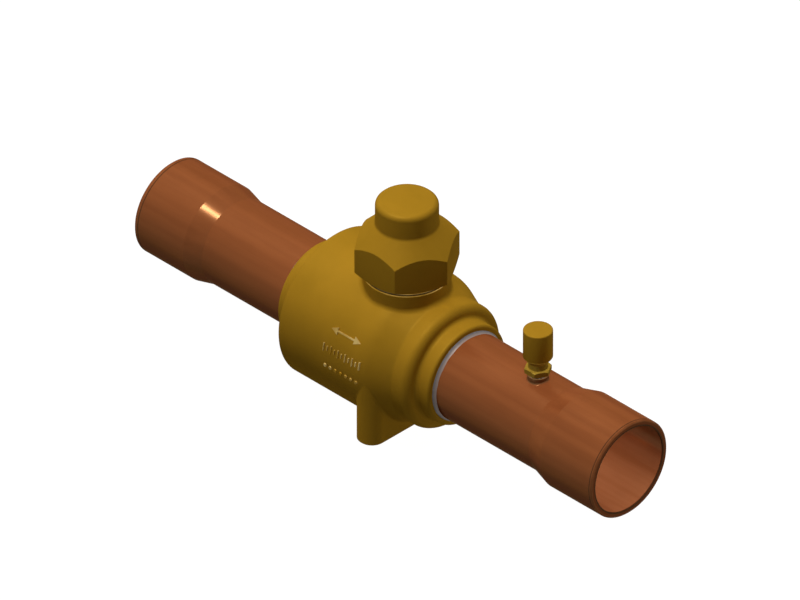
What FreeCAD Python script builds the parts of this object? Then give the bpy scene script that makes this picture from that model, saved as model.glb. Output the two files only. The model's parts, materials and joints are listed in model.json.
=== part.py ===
"""Refrigerant service valve: a ball valve with brazed-in copper stubs, a seal cap and an access port.

Everything is drawn in millimetres about the ball's centre, with X along the pipe towards the
access port, Y across it and Z up the stem. The finished pieces are then moved so that the
origin is the centre of the two mounting holes under the foot.
"""
import FreeCAD, Part
import math
import os

V = FreeCAD.Vector
ORIGIN = V(0, 0, 0)
X_AXIS = V(1, 0, 0)
Y_AXIS = V(0, 1, 0)
Z_AXIS = V(0, 0, 1)

# Clearances
RUN_GAP = 0.03
FIT_GAP = 0.05
THREAD_GAP = 0.05
LOOSE_GAP = 0.5
SAME_PLACE = 0.01

# Line tube and its sockets
TUBE_OD = 42.0
TUBE_WALL = 2.5
SOCKET_GAP = 0.1
NEAR_SOCKET_OD = 47.8
NEAR_SOCKET_DEPTH = 31.8
NEAR_CONE_LENGTH = 10.2
NEAR_TUBE_LENGTH = 112.0
FAR_SOCKET_OD = 46.8
FAR_SOCKET_DEPTH = 30.5
FAR_CONE_LENGTH = 9.5
FAR_TUBE_LENGTH = 101.2
TUBE_END_CHAMFER = 0.6
SOCKET_CONE_LAG = 1.0

# Ball and seats
BALL_RIM = 9.0
BALL_GAP = 1.5
SEAT_WIDTH = 5.9
SEAT_LAND = 1.45
SEAT_REACH = 7.8
BACKING_THICKNESS = 1.8
BACKING_STEP = 0.6
SLOT_WIDTH = 8.0
SLOT_FLOOR = 3.0
RELIEF_HOLE_R = 1.0

# Valve body
BARREL_WALL = 5.0
BODY_THREAD_STEP = 2.0
BARREL_FACE_X = -44.9
BARREL_EDGE = 0.5
NOSE_WALL = 5.95
NOSE_LENGTH = 9.8
NOSE_ROUND = 4.0
SHOULDER_LENGTH = 13.4
SHOULDER_ROUND = 19.4
SHOULDER_BLEND = 3.0
STOP_LIP = 3.4
JOINT_DEPTH = 10.7
COLLAR_WALL = 3.4
COLLAR_LENGTH = 7.9
COLLAR_ROUND = 1.5
COLLAR_FILLET = 1.9
POCKET_LEAD = 0.8
THREAD_SHOULDER_X = -24.5

# End connector, screwed in from the far side
CONNECTOR_RECESS = 0.6
CONNECTOR_LEAD = 0.997
FAR_COLLAR_LENGTH = 12.7
WRENCH_NOTCHES = 4
WRENCH_NOTCH_WIDTH = 6.0
WRENCH_NOTCH_DEPTH = 2.4
WRENCH_NOTCH_RUN = 2.5
CONNECTOR_GROOVE_X = -18.5
CONNECTOR_SEAL_SECTION = 1.8
GROOVE_SIDE_GAP = 0.4

# Braze fillets
BRAZE_RISE = 1.7
BRAZE_LENGTH = 1.6

# Bonnet neck with the seal cap's thread and the quadrant lugs
NECK_R = 19.7
NECK_RISE = 1.7
NECK_FILLET = 2.6
NECK_EDGE = 0.3
CAP_THREAD_R = 16.5
CAP_THREAD_DEPTH = 0.8
CAP_THREAD_LENGTH = 9.8
THREAD_CHAMFER = 0.8
LUG_HEIGHT = 4.0
LUG_INNER_R = 8.6
LUG_OUTER_R = 14.4

# Foot under the barrel
FOOT_PAST_SHOULDER = 0.003
FOOT_HALF_WIDTH = 6.8
FOOT_END_INSET = 0.7
FOOT_RISE = 1.4
FOOT_TOP_Z = -1.0
FOOT_FILLET = 2.0
FOOT_EDGE = 0.4
FOOT_HOLE_R = 2.5
FOOT_HOLE_DEPTH = 10.0

# Stem
STEM_R = 7.0
BLADE_HALF_LENGTH = 8.0
BLADE_GAP = 0.5
STEM_COLLAR_R = 10.0
STEM_COLLAR_LIFT = 0.8
STEM_COLLAR_THICKNESS = 3.2
WASHER_THICKNESS = 1.5
STEM_SEAL_SECTION = 1.6
STEM_SEAL_LOWER_Z = 37.0
STEM_SEAL_UPPER_Z = 42.5
STOP_PIN_R = 2.0
STOP_PIN_LENGTH = 24.0
STOP_PIN_LIFT = 0.3
STEM_SHOULDER = 1.2
SQUARE_WIDTH = 9.8
SQUARE_LENGTH = 8.5
SQUARE_CHAMFER = 0.8
MARK_WIDTH = 1.2
MARK_DEPTH = 0.8

# Seal cap
CAP_GASKET_THICKNESS = 0.7
CAP_GASKET_INSET = 0.5
CAP_BOSS_HEIGHT = 0.9
CAP_BOSS_R = 18.9
HEX_TILT_DEG = 2.1
HEX_VERTEX_R = 24.4
HEX_BOTTOM_R = 19.4
HEX_BOTTOM_RISE = 2.9
HEX_SIDE_HEIGHT = 12.2
KNOB_R = 14.25
KNOB_HEIGHT = 11.8
KNOB_FILLET = 2.0
KNOB_ROUND = 2.5
KNOB_WALL = 3.25
KNOB_TOP_WALL = 5.8
CAP_PIN_ROOM = 0.6
CAP_INNER_CONE = 4.5

# Access port on the near tube
PORT_TO_CONE = 15.0
PULLED_COLLAR_R = 4.8
PULLED_COLLAR_HEIGHT = 2.3
PULLED_COLLAR_FILLET = 0.8
SPIGOT_R = 3.6
SPIGOT_DEPTH = 4.4
PORT_BRAZE_HEIGHT = 0.5
PORT_BRAZE_RISE = 0.1
PORT_NECK_R = 4.4
PORT_STEP = 0.9
PORT_HEX_FLATS = 11.0
PORT_HEX_THICKNESS = 2.6
PORT_NECK_LENGTH = 2.9
PORT_SHOULDER_R = 6.6
PORT_SHOULDER_HEIGHT = 2.75
PORT_THREAD_R = 5.56
PORT_THREAD_DEPTH = 0.7
PORT_THREAD_LENGTH = 10.6
PORT_MOUTH_R = 4.26
PORT_PASSAGE_R = 1.3
CORE_BORE_R = 2.0
CORE_BORE_LENGTH = 11.3
CORE_HEAD_BORE_R = 2.9

# Access valve core
CORE_RECESS = 0.9
CORE_HEAD_LENGTH = 3.8
CORE_BARREL_LENGTH = 7.8
CORE_CHAMBER_R = 1.75
CORE_CHAMBER_DEPTH = 6.1
CORE_GASKET_RISE = 3.0
CORE_GASKET_LENGTH = 1.6
CORE_GASKET_DEPTH = 0.4
CORE_SLOT_WIDTH = 1.6
CORE_SLOT_DEPTH = 1.2
PIN_R = 0.6
PIN_GAP = 0.1
PIN_FLANGE_R = 1.45
PIN_FLANGE_THICKNESS = 0.6
PIN_TOP_SETBACK = 0.6
PIN_FLANGE_DROP = 1.3
CORE_SEAL_R = 1.6
CORE_SEAL_THICKNESS = 1.0
PIN_FOOT_THICKNESS = 0.4
SPRING_WIRE_R = 0.15
SPRING_TURNS = 5

# Access cap
ACCESS_CAP_R = 6.73
ACCESS_CAP_GAP = 0.2
ACCESS_CAP_TOP_WALL = 2.35
ACCESS_CAP_CHAMFER = 0.5
ACCESS_SEAL_THICKNESS = 1.5
ACCESS_SEAL_INSET = 0.25

# Radii that follow from the tube
tube_r = TUBE_OD / 2
bore_r = tube_r - TUBE_WALL
socket_r = tube_r + SOCKET_GAP
ball_r = bore_r + BALL_RIM
cavity_r = ball_r + BALL_GAP
body_thread_r = cavity_r + BODY_THREAD_STEP
barrel_r = body_thread_r + BARREL_WALL
seat_r = bore_r + SEAT_WIDTH
seat_pocket_r = seat_r + FIT_GAP
nose_r = seat_pocket_r + NOSE_WALL
collar_r = tube_r + FIT_GAP + COLLAR_WALL

# Radii at the roots of the two outside threads
cap_root_r = CAP_THREAD_R - CAP_THREAD_DEPTH
port_root_r = PORT_THREAD_R - PORT_THREAD_DEPTH

# Stations along the pipe, from the ball's centre towards the near end
bore_edge_x = math.sqrt(ball_r ** 2 - bore_r ** 2)
seat_back_x = bore_edge_x + SEAT_LAND
pocket_floor_x = seat_back_x + BACKING_THICKNESS
seat_front_x = seat_back_x - SEAT_REACH
tube_stop_x = pocket_floor_x + STOP_LIP
collar_end_x = tube_stop_x + JOINT_DEPTH
nose_face_x = collar_end_x - COLLAR_LENGTH
shoulder_end_x = nose_face_x - NOSE_LENGTH
shoulder_start_x = shoulder_end_x - SHOULDER_LENGTH
foot_x = shoulder_start_x + FOOT_PAST_SHOULDER
pocket_mouth_x = seat_front_x - POCKET_LEAD
near_end_x = tube_stop_x + NEAR_TUBE_LENGTH
port_x = near_end_x - NEAR_SOCKET_DEPTH - NEAR_CONE_LENGTH - PORT_TO_CONE
connector_nose_x = CONNECTOR_LEAD - seat_front_x
far_collar_end_x = BARREL_FACE_X + CONNECTOR_RECESS - FAR_COLLAR_LENGTH
far_tube_stop_x = far_collar_end_x + JOINT_DEPTH
far_end_x = far_tube_stop_x - FAR_TUBE_LENGTH

# Heights up the stem
slot_floor_z = bore_r + SLOT_FLOOR
stem_collar_z = ball_r + STEM_COLLAR_LIFT
stem_collar_top_z = stem_collar_z + STEM_COLLAR_THICKNESS
washer_z = stem_collar_top_z + RUN_GAP
washer_top_z = washer_z + WASHER_THICKNESS
washer_pocket_r = STEM_COLLAR_R + LOOSE_GAP
stem_bore_r = STEM_R + FIT_GAP
neck_top_z = barrel_r + NECK_RISE
bonnet_top_z = neck_top_z + CAP_THREAD_LENGTH
lug_top_z = bonnet_top_z + LUG_HEIGHT
stop_pin_z = bonnet_top_z + STOP_PIN_LIFT + STOP_PIN_R
stem_shoulder_z = stop_pin_z + STOP_PIN_R + STEM_SHOULDER
stem_top_z = stem_shoulder_z + SQUARE_LENGTH
cap_boss_z = neck_top_z + CAP_GASKET_THICKNESS
hex_bottom_z = cap_boss_z + CAP_BOSS_HEIGHT
hex_side_z = hex_bottom_z + HEX_BOTTOM_RISE
hex_top_z = hex_side_z + HEX_SIDE_HEIGHT
knob_root_z = hex_top_z + HEX_VERTEX_R - KNOB_R
knob_top_z = knob_root_z + KNOB_HEIGHT
foot_bottom_z = FOOT_RISE - barrel_r
foot_hole_y = barrel_r - FOOT_END_INSET - FOOT_HALF_WIDTH

# Heights up the access port
port_collar_z = tube_r + PULLED_COLLAR_HEIGHT
port_step_z = port_collar_z + PORT_BRAZE_HEIGHT
port_hex_z = port_step_z + PORT_STEP
port_hex_top_z = port_hex_z + PORT_HEX_THICKNESS
port_shoulder_z = port_hex_top_z + PORT_NECK_LENGTH
port_thread_z = port_shoulder_z + PORT_SHOULDER_HEIGHT
port_top_z = port_thread_z + PORT_THREAD_LENGTH
access_cap_z = port_thread_z + ACCESS_CAP_GAP
access_ceiling_z = port_top_z + ACCESS_SEAL_THICKNESS
access_cap_top_z = access_ceiling_z + ACCESS_CAP_TOP_WALL
core_top_z = port_top_z - CORE_RECESS
core_head_z = core_top_z - CORE_HEAD_LENGTH
core_bottom_z = core_head_z - CORE_BARREL_LENGTH
core_bore_z = core_head_z - CORE_BORE_LENGTH
core_ledge_z = core_top_z - CORE_CHAMBER_DEPTH
pin_flange_z = core_top_z - PIN_FLANGE_DROP
pin_top_z = port_top_z - PIN_TOP_SETBACK
core_seal_z = core_bottom_z - CORE_SEAL_THICKNESS


def closed_wire(corners, place):
    """Closed wire through (along, radius, round) corners; place() turns two numbers into a point."""
    points = [FreeCAD.Base.Vector2d(c[0], c[1]) for c in corners]
    edges = []
    ends = []
    for i, corner in enumerate(corners):
        here = points[i]
        rounding = corner[2] if len(corner) > 2 else 0
        if not rounding:
            ends.append((here, here, None))
            continue
        back = unit(points[i - 1], here)
        ahead = unit(points[(i + 1) % len(points)], here)
        half = math.acos(back[0] * ahead[0] + back[1] * ahead[1]) / 2
        run = rounding / math.tan(half)
        middle = (back[0] + ahead[0], back[1] + ahead[1])
        reach = math.hypot(*middle)
        depth = rounding / math.sin(half) - rounding
        ends.append((
            FreeCAD.Base.Vector2d(here.x + back[0] * run, here.y + back[1] * run),
            FreeCAD.Base.Vector2d(here.x + ahead[0] * run, here.y + ahead[1] * run),
            FreeCAD.Base.Vector2d(here.x + middle[0] / reach * depth, here.y + middle[1] / reach * depth)))
    for i, (start, end, middle) in enumerate(ends):
        if middle is not None:
            arc = Part.Arc(place(start.x, start.y), place(middle.x, middle.y), place(end.x, end.y))
            edges.append(arc.toShape())
        following = ends[(i + 1) % len(ends)][0]
        edges.append(Part.makeLine(place(end.x, end.y), place(following.x, following.y)))
    return Part.Wire(edges)


def unit(point, origin):
    """Unit direction from origin to point, as two numbers."""
    length = math.hypot(point.x - origin.x, point.y - origin.y)
    return ((point.x - origin.x) / length, (point.y - origin.y) / length)


def turned_x(corners):
    """Solid of revolution about the pipe axis from (x, radius, round) corners."""
    face = Part.Face(closed_wire(corners, lambda x, r: V(x, r, 0)))
    return face.revolve(ORIGIN, X_AXIS, 360)


def turned_z(corners, x=0):
    """Solid of revolution about a vertical axis at x from (z, radius, round) corners."""
    face = Part.Face(closed_wire(corners, lambda z, r: V(x + r, 0, z)))
    return face.revolve(V(x, 0, 0), Z_AXIS, 360)


def cylinder_x(radius, x0, x1):
    return Part.makeCylinder(radius, x1 - x0, V(x0, 0, 0), X_AXIS)


def cylinder_z(radius, z0, z1, x=0, y=0):
    return Part.makeCylinder(radius, z1 - z0, V(x, y, z0), Z_AXIS)


def centred_box(width_x, width_y, z0, z1, x=0, y=0):
    corner = V(x - width_x / 2, y - width_y / 2, z0)
    return Part.makeBox(width_x, width_y, z1 - z0, corner)


def hex_prism(vertex_r, z0, z1, turn_deg, x=0):
    """Upright hexagonal prism with one vertex turn_deg round from +X."""
    angles = [math.radians(turn_deg + 60 * i) for i in range(6)]
    corners = [V(x + vertex_r * math.cos(a), vertex_r * math.sin(a), z0) for a in angles]
    face = Part.Face(Part.makePolygon(corners + corners[:1]))
    return face.extrude(V(0, 0, z1 - z0))


def fillet_where(shape, radius, test):
    """Fillet the edges whose points all pass the test."""
    edges = [e for e in shape.Edges if all(test(p) for p in e.discretize(5))]
    return shape.makeFillet(radius, edges)


def mirrored(shape):
    """The same piece on the far side of the ball."""
    return shape.mirror(ORIGIN, X_AXIS)


def valve_body():
    """Forged barrel with the near nose and collar, the bonnet neck and the foot."""
    outside = turned_x([
        (BARREL_FACE_X, 0),
        (BARREL_FACE_X, barrel_r - BARREL_EDGE),
        (BARREL_FACE_X + BARREL_EDGE, barrel_r),
        (shoulder_start_x, barrel_r, SHOULDER_ROUND),
        (shoulder_end_x, nose_r, SHOULDER_BLEND),
        (nose_face_x, nose_r, NOSE_ROUND),
        (nose_face_x, collar_r, COLLAR_FILLET),
        (collar_end_x, collar_r, COLLAR_ROUND),
        (collar_end_x, 0)])
    outside = with_neck(with_foot(outside))
    inside = turned_x([
        (BARREL_FACE_X, 0),
        (BARREL_FACE_X, body_thread_r + THREAD_GAP),
        (THREAD_SHOULDER_X, body_thread_r + THREAD_GAP),
        (THREAD_SHOULDER_X, cavity_r),
        (pocket_mouth_x, cavity_r, LOOSE_GAP),
        (pocket_mouth_x, seat_pocket_r),
        (pocket_floor_x, seat_pocket_r),
        (pocket_floor_x, bore_r),
        (tube_stop_x, bore_r),
        (tube_stop_x, tube_r + FIT_GAP),
        (collar_end_x, tube_r + FIT_GAP),
        (collar_end_x, 0)])
    body = outside.cut(inside)
    body = body.cut(cylinder_z(washer_pocket_r, 0, washer_top_z))
    body = body.cut(cylinder_z(stem_bore_r, 0, lug_top_z))
    for side in (-1, 1):
        body = body.cut(foot_hole(side * foot_hole_y))
    return body


def with_foot(barrel):
    """Adds the obround foot across the barrel's underside."""
    foot = centred_box(2 * FOOT_HALF_WIDTH, 2 * foot_hole_y, foot_bottom_z, FOOT_TOP_Z, foot_x)
    for side in (-1, 1):
        end = cylinder_z(FOOT_HALF_WIDTH, foot_bottom_z, FOOT_TOP_Z, foot_x, side * foot_hole_y)
        foot = foot.fuse(end)
    body = barrel.fuse(foot.removeSplitter())
    body = fillet_where(body, FOOT_FILLET, is_at_foot_root)
    outline = [e for e in body.Edges if all(is_on_foot_face(p) for p in e.discretize(5))]
    return body.makeChamfer(FOOT_EDGE, outline)


def distance_from_foot(point):
    """How far the point lies outside the foot's obround outline, less than nothing inside it."""
    past_hole = max(abs(point.y) - foot_hole_y, 0)
    return math.hypot(point.x - foot_x, past_hole) - FOOT_HALF_WIDTH


def is_at_foot_root(point):
    """True on the line where the foot's side meets the barrel."""
    on_side = abs(distance_from_foot(point)) < SAME_PLACE
    above_face = point.z > foot_bottom_z + SAME_PLACE
    off_axis = math.hypot(point.y, point.z)
    return on_side and above_face and off_axis > nose_r


def is_on_foot_face(point):
    return abs(point.z - foot_bottom_z) < SAME_PLACE


def foot_hole(y):
    """Blind tapping hole with a drill point, up into the foot."""
    straight = cylinder_z(FOOT_HOLE_R, foot_bottom_z, foot_bottom_z + FOOT_HOLE_DEPTH, foot_x, y)
    tip_z = foot_bottom_z + FOOT_HOLE_DEPTH
    tip = Part.makeCone(FOOT_HOLE_R, 0, FOOT_HOLE_R / 2, V(foot_x, y, tip_z), Z_AXIS)
    return straight.fuse(tip)


def with_neck(barrel):
    """Adds the neck, its fillet, the cap's thread and the two quadrant lugs."""
    tall_z = neck_top_z + 2 * NECK_FILLET
    body = barrel.fuse(cylinder_z(NECK_R, 0, tall_z))
    body = fillet_where(body, NECK_FILLET, lambda p: is_on_neck(p, tall_z))
    trim_r = NECK_R + 2 * NECK_FILLET
    body = body.cut(cylinder_z(trim_r, neck_top_z, tall_z + NECK_FILLET))
    rim = [e for e in body.Edges if all(abs(p.z - neck_top_z) < SAME_PLACE for p in e.discretize(5))]
    body = body.makeChamfer(NECK_EDGE, rim)
    thread = turned_z([
        (neck_top_z, 0),
        (neck_top_z, cap_root_r),
        (bonnet_top_z - THREAD_CHAMFER, cap_root_r),
        (bonnet_top_z, cap_root_r - THREAD_CHAMFER),
        (bonnet_top_z, 0)])
    body = body.fuse(thread)
    for side in (-1, 1):
        body = body.fuse(quadrant_lug(side))
    return body.removeSplitter()


def is_on_neck(point, tall_z):
    """True on the line where the neck meets the barrel."""
    off_neck = abs(math.hypot(point.x, point.y) - NECK_R)
    return off_neck < SAME_PLACE and SAME_PLACE < point.z < tall_z - SAME_PLACE


def quadrant_lug(side):
    """Quarter ring on the bonnet that stops the cross pin at both ends of its turn."""
    ring = cylinder_z(LUG_OUTER_R, bonnet_top_z, lug_top_z)
    ring = ring.cut(cylinder_z(LUG_INNER_R, bonnet_top_z, lug_top_z))
    edge = STOP_PIN_R + RUN_GAP
    middle = edge + LUG_OUTER_R / 2
    quarter = centred_box(LUG_OUTER_R, LUG_OUTER_R, bonnet_top_z, lug_top_z, side * middle, -side * middle)
    return ring.common(quarter)


def end_connector():
    """Threaded ring that closes the far side, with its own seat pocket and tube collar."""
    face_x = BARREL_FACE_X + CONNECTOR_RECESS
    groove_half = (CONNECTOR_SEAL_SECTION + GROOVE_SIDE_GAP) / 2
    groove_r = cavity_r - CONNECTOR_SEAL_SECTION
    nose_fit_r = cavity_r - FIT_GAP
    connector = turned_x([
        (connector_nose_x, seat_pocket_r),
        (connector_nose_x, nose_fit_r),
        (CONNECTOR_GROOVE_X + groove_half, nose_fit_r),
        (CONNECTOR_GROOVE_X + groove_half, groove_r),
        (CONNECTOR_GROOVE_X - groove_half, groove_r),
        (CONNECTOR_GROOVE_X - groove_half, nose_fit_r),
        (THREAD_SHOULDER_X, nose_fit_r),
        (THREAD_SHOULDER_X, body_thread_r),
        (face_x, body_thread_r),
        (face_x, collar_r, COLLAR_FILLET),
        (far_collar_end_x, collar_r, COLLAR_ROUND),
        (far_collar_end_x, tube_r + FIT_GAP),
        (far_tube_stop_x, tube_r + FIT_GAP),
        (far_tube_stop_x, bore_r),
        (-pocket_floor_x, bore_r),
        (-pocket_floor_x, seat_pocket_r)])
    notch_r = body_thread_r - WRENCH_NOTCH_DEPTH
    for i in range(WRENCH_NOTCHES):
        notch = Part.makeBox(
            WRENCH_NOTCH_RUN, WRENCH_NOTCH_WIDTH, 2 * WRENCH_NOTCH_DEPTH,
            V(face_x, -WRENCH_NOTCH_WIDTH / 2, notch_r))
        notch.rotate(ORIGIN, X_AXIS, 45 + 360 * i / WRENCH_NOTCHES)
        connector = connector.cut(notch)
    return connector


def connector_seal():
    return ring_seal_x(CONNECTOR_GROOVE_X, cavity_r, CONNECTOR_SEAL_SECTION)


def ring_seal_x(x, outer_r, section):
    """O-ring about the pipe axis that fills its groove up to the bore."""
    wire_r = section / 2 - RUN_GAP
    return Part.makeTorus(outer_r - section / 2, wire_r, V(x, 0, 0), X_AXIS)


def ball():
    """Ball with its bore, the stem's slot and the cavity relief hole."""
    body = Part.makeSphere(ball_r)
    body = body.cut(cylinder_x(bore_r, -ball_r, ball_r))
    body = body.cut(centred_box(SLOT_WIDTH, 2 * ball_r, slot_floor_z, ball_r))
    return body.cut(cylinder_z(RELIEF_HOLE_R, -ball_r, 0))


def seat_near():
    """Seat ring with a spherical face that carries the ball."""
    face_r = ball_r + RUN_GAP
    ring = turned_x([
        (seat_front_x, bore_r),
        (seat_front_x, seat_r),
        (seat_back_x, seat_r),
        (seat_back_x, bore_r)])
    return ring.cut(Part.makeSphere(face_r))


def seat_backing_near():
    """Rubber ring that presses the seat against the ball."""
    inner_r = bore_r + BACKING_STEP
    ring = cylinder_x(seat_r, seat_back_x, pocket_floor_x)
    return ring.cut(cylinder_x(inner_r, seat_back_x, pocket_floor_x))


def stem():
    """Blow-out-proof stem: blade, inner collar, two seal grooves and a square top."""
    shaft = turned_z([
        (stem_collar_z, 0),
        (stem_collar_z, STEM_COLLAR_R),
        (stem_collar_top_z, STEM_COLLAR_R),
        (stem_collar_top_z, STEM_R)]
        + seal_groove(STEM_SEAL_LOWER_Z)
        + seal_groove(STEM_SEAL_UPPER_Z)
        + [(stem_shoulder_z, STEM_R), (stem_shoulder_z, 0)])
    thickness = SLOT_WIDTH - 2 * FIT_GAP
    blade = centred_box(thickness, 2 * BLADE_HALF_LENGTH, slot_floor_z + BLADE_GAP, stem_collar_z)
    square = centred_box(SQUARE_WIDTH, SQUARE_WIDTH, stem_shoulder_z, stem_top_z)
    square = square.common(turned_z([
        (stem_shoulder_z, 0),
        (stem_shoulder_z, STEM_R),
        (stem_top_z - SQUARE_CHAMFER, STEM_R),
        (stem_top_z, SQUARE_WIDTH / 2),
        (stem_top_z, 0)]))
    mark = centred_box(SQUARE_WIDTH, MARK_WIDTH, stem_top_z - MARK_DEPTH, stem_top_z)
    solid = shaft.fuse(blade).fuse(square).removeSplitter()
    solid = solid.cut(stop_pin_blank(STOP_PIN_R + RUN_GAP))
    return solid.cut(mark)


def seal_groove(z):
    """Four corners of one O-ring groove in the stem."""
    half = (STEM_SEAL_SECTION + GROOVE_SIDE_GAP) / 2
    floor_r = stem_bore_r - STEM_SEAL_SECTION
    return [(z - half, STEM_R), (z - half, floor_r), (z + half, floor_r), (z + half, STEM_R)]


def stem_o_ring(z):
    wire_r = STEM_SEAL_SECTION / 2 - RUN_GAP
    return Part.makeTorus(stem_bore_r - STEM_SEAL_SECTION / 2, wire_r, V(0, 0, z), Z_AXIS)


def stem_thrust_washer():
    washer = cylinder_z(washer_pocket_r - FIT_GAP, washer_z, washer_top_z)
    return washer.cut(cylinder_z(stem_bore_r, washer_z, washer_top_z))


def stop_pin_blank(radius):
    """Cross pin through the stem, along Y when the valve is open."""
    half = STOP_PIN_LENGTH / 2
    return Part.makeCylinder(radius, STOP_PIN_LENGTH, V(0, -half, stop_pin_z), Y_AXIS)


def cap_gasket():
    """Thin sealing ring on the neck's shoulder."""
    ring = cylinder_z(NECK_R - CAP_GASKET_INSET, neck_top_z, cap_boss_z)
    return ring.cut(cylinder_z(CAP_THREAD_R + LOOSE_GAP, neck_top_z, cap_boss_z))


def seal_cap():
    """Hexagon cap with a chamfered underside, a coned top and a round knob, hollow over the stem."""
    outside = turned_z([
        (hex_bottom_z, 0),
        (hex_bottom_z, HEX_BOTTOM_R),
        (hex_side_z, HEX_VERTEX_R),
        (hex_top_z, HEX_VERTEX_R),
        (knob_root_z, KNOB_R, KNOB_FILLET),
        (knob_top_z, KNOB_R, KNOB_ROUND),
        (knob_top_z, 0)])
    outside = outside.common(hex_prism(HEX_VERTEX_R, hex_bottom_z, knob_top_z, HEX_TILT_DEG))
    outside = outside.fuse(cylinder_z(CAP_BOSS_R, cap_boss_z, hex_bottom_z))
    thread_r = cap_root_r + THREAD_GAP
    knob_bore_r = KNOB_R - KNOB_WALL
    room_z = lug_top_z + CAP_PIN_ROOM
    inside = turned_z([
        (cap_boss_z, 0),
        (cap_boss_z, thread_r),
        (room_z, thread_r),
        (room_z + CAP_INNER_CONE, knob_bore_r),
        (knob_top_z - KNOB_TOP_WALL, knob_bore_r, 2 * LOOSE_GAP),
        (knob_top_z - KNOB_TOP_WALL, 0)])
    return outside.cut(inside)


def stub_tube(stop_x, end_x, cone_length, socket_depth, socket_od):
    """Copper stub from its stop in the valve to a socket that takes the same size of tube."""
    out = 1 if end_x > stop_x else -1
    socket_x = end_x - out * socket_depth
    cone_x = socket_x - out * cone_length
    inner_cone_x = cone_x + out * SOCKET_CONE_LAG
    chamfer_x = end_x - out * TUBE_END_CHAMFER
    return turned_x([
        (stop_x, bore_r),
        (stop_x, tube_r),
        (cone_x, tube_r),
        (socket_x, socket_od / 2),
        (chamfer_x, socket_od / 2),
        (end_x, socket_od / 2 - TUBE_END_CHAMFER),
        (end_x, socket_r),
        (socket_x, socket_r),
        (inner_cone_x, bore_r)])


def near_tube():
    """Near stub, with a collar pulled up out of its wall for the access fitting."""
    tube = stub_tube(tube_stop_x, near_end_x, NEAR_CONE_LENGTH, NEAR_SOCKET_DEPTH, NEAR_SOCKET_OD)
    tube = tube.fuse(cylinder_z(PULLED_COLLAR_R, bore_r + TUBE_WALL / 2, port_collar_z, port_x))
    tube = fillet_where(tube, PULLED_COLLAR_FILLET, is_at_collar_root)
    return tube.cut(cylinder_z(SPIGOT_R + FIT_GAP, 0, port_collar_z, port_x))


def is_at_collar_root(point):
    """True on the line where the pulled collar leaves the tube's outside."""
    off_collar = abs(math.hypot(point.x - port_x, point.y) - PULLED_COLLAR_R)
    off_tube = abs(math.hypot(point.y, point.z) - tube_r)
    return off_collar < SAME_PLACE and off_tube < SAME_PLACE


def far_tube():
    return stub_tube(far_tube_stop_x, far_end_x, FAR_CONE_LENGTH, FAR_SOCKET_DEPTH, FAR_SOCKET_OD)


def braze_ring(face_x, out):
    """Coned fillet of braze metal between a collar's face and the tube."""
    return turned_x([
        (face_x, tube_r),
        (face_x, tube_r + BRAZE_RISE),
        (face_x + out * BRAZE_LENGTH, tube_r + FIT_GAP),
        (face_x + out * BRAZE_LENGTH, tube_r)])


def access_fitting():
    """Turned fitting: spigot, hexagon, neck, coned shoulder, cap thread and flare."""
    bottom_z = port_collar_z - SPIGOT_DEPTH
    flare_z = port_top_z - (port_root_r - PORT_MOUTH_R)
    turned = turned_z([
        (bottom_z, 0),
        (bottom_z, SPIGOT_R),
        (port_step_z, SPIGOT_R),
        (port_step_z, PORT_NECK_R),
        (port_shoulder_z, PORT_NECK_R),
        (port_thread_z, PORT_SHOULDER_R),
        (port_thread_z, port_root_r),
        (flare_z, port_root_r),
        (port_top_z, PORT_MOUTH_R),
        (port_top_z, 0)], port_x)
    vertex_r = PORT_HEX_FLATS / math.sqrt(3)
    turned = turned.fuse(hex_prism(vertex_r, port_hex_z, port_hex_top_z, 0, port_x))
    bore = turned_z([
        (bottom_z, 0),
        (bottom_z, PORT_PASSAGE_R),
        (core_bore_z, PORT_PASSAGE_R),
        (core_bore_z, CORE_BORE_R),
        (core_head_z, CORE_BORE_R),
        (core_head_z, CORE_HEAD_BORE_R),
        (port_top_z, CORE_HEAD_BORE_R),
        (port_top_z, 0)], port_x)
    return turned.cut(bore)


def access_braze_ring():
    ring = cylinder_z(PULLED_COLLAR_R + PORT_BRAZE_RISE, port_collar_z, port_step_z, port_x)
    return ring.cut(cylinder_z(SPIGOT_R, port_collar_z, port_step_z, port_x))


def core_body():
    """Screwed-in core: slotted head, spring chamber and a barrel with a gasket groove."""
    barrel_core_r = CORE_BORE_R - FIT_GAP
    gasket_z = core_bottom_z + CORE_GASKET_RISE
    gasket_top_z = gasket_z + CORE_GASKET_LENGTH
    groove_r = barrel_core_r - CORE_GASKET_DEPTH
    body = turned_z([
        (core_bottom_z, PIN_R + PIN_GAP),
        (core_bottom_z, barrel_core_r),
        (gasket_z, barrel_core_r),
        (gasket_z, groove_r),
        (gasket_top_z, groove_r),
        (gasket_top_z, barrel_core_r),
        (core_head_z, barrel_core_r),
        (core_head_z, CORE_HEAD_BORE_R - FIT_GAP),
        (core_top_z, CORE_HEAD_BORE_R - FIT_GAP),
        (core_top_z, CORE_CHAMBER_R),
        (core_ledge_z, CORE_CHAMBER_R),
        (core_ledge_z, PIN_R + PIN_GAP)], port_x)
    slot_z = core_top_z - CORE_SLOT_DEPTH
    return body.cut(centred_box(2 * CORE_HEAD_BORE_R, CORE_SLOT_WIDTH, slot_z, core_top_z, port_x))


def core_gasket():
    outer_r = CORE_BORE_R - RUN_GAP
    inner_r = CORE_BORE_R - FIT_GAP - CORE_GASKET_DEPTH
    z0 = core_bottom_z + CORE_GASKET_RISE
    z1 = z0 + CORE_GASKET_LENGTH
    return cylinder_z(outer_r, z0, z1, port_x).cut(cylinder_z(inner_r, z0, z1, port_x))


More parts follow.
